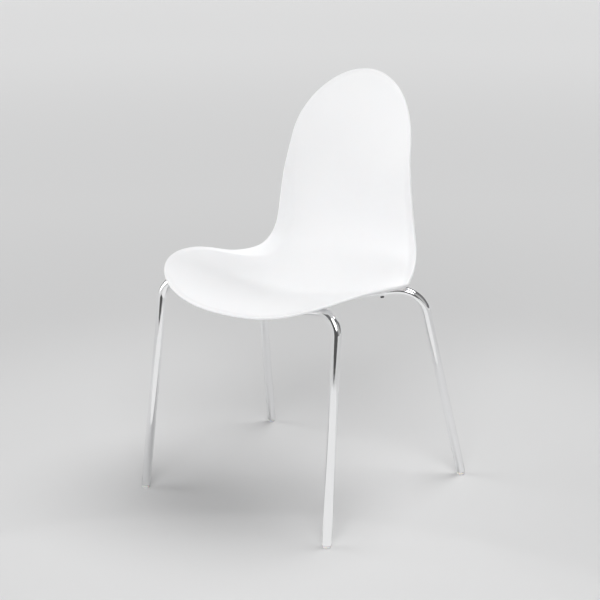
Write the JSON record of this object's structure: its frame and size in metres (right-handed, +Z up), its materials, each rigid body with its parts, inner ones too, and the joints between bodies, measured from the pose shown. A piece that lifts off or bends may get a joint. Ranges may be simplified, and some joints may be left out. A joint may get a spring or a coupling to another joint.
{
  "type": "stacking chair",
  "caption": "Stacking side chair: moulded one-piece seat and back shell with folded side wings on splayed bent-tube legs.",
  "frame": {"origin": "on the floor, at the middle of the chair's footprint", "axes": "+Z up; the sitter faces -Y; +X is the sitter's left"},
  "size_m": [0.5248, 0.4736, 0.8293],
  "materials": {
    "shell_plastic": "satin moulded white plastic",
    "frame_chrome": "polished chrome plate on steel tube",
    "screw_steel": "zinc-plated steel",
    "insert_brass": "turned brass",
    "bumper_plastic": "black soft plastic",
    "glide_plastic": "smooth pale translucent plastic"
  },
  "bodies": {
    "root": {"shell": "shell_plastic", "boss_front_left": "shell_plastic", "boss_front_right": "shell_plastic", "boss_rear_left": "shell_plastic", "boss_rear_right": "shell_plastic", "threaded_inserts": "insert_brass", "mounting_screws": "screw_steel", "washers": "screw_steel", "mounting_rail_left": "frame_chrome", "mounting_rail_right": "frame_chrome", "front_leg_tube": "frame_chrome", "rear_leg_tube": "frame_chrome", "bumper_front_left": "bumper_plastic", "bumper_front_right": "bumper_plastic", "bumper_rear_left": "bumper_plastic", "bumper_rear_right": "bumper_plastic", "glide_front_left": "glide_plastic", "glide_front_right": "glide_plastic", "glide_rear_left": "glide_plastic", "glide_rear_right": "glide_plastic"}
  },
  "joints": []
}
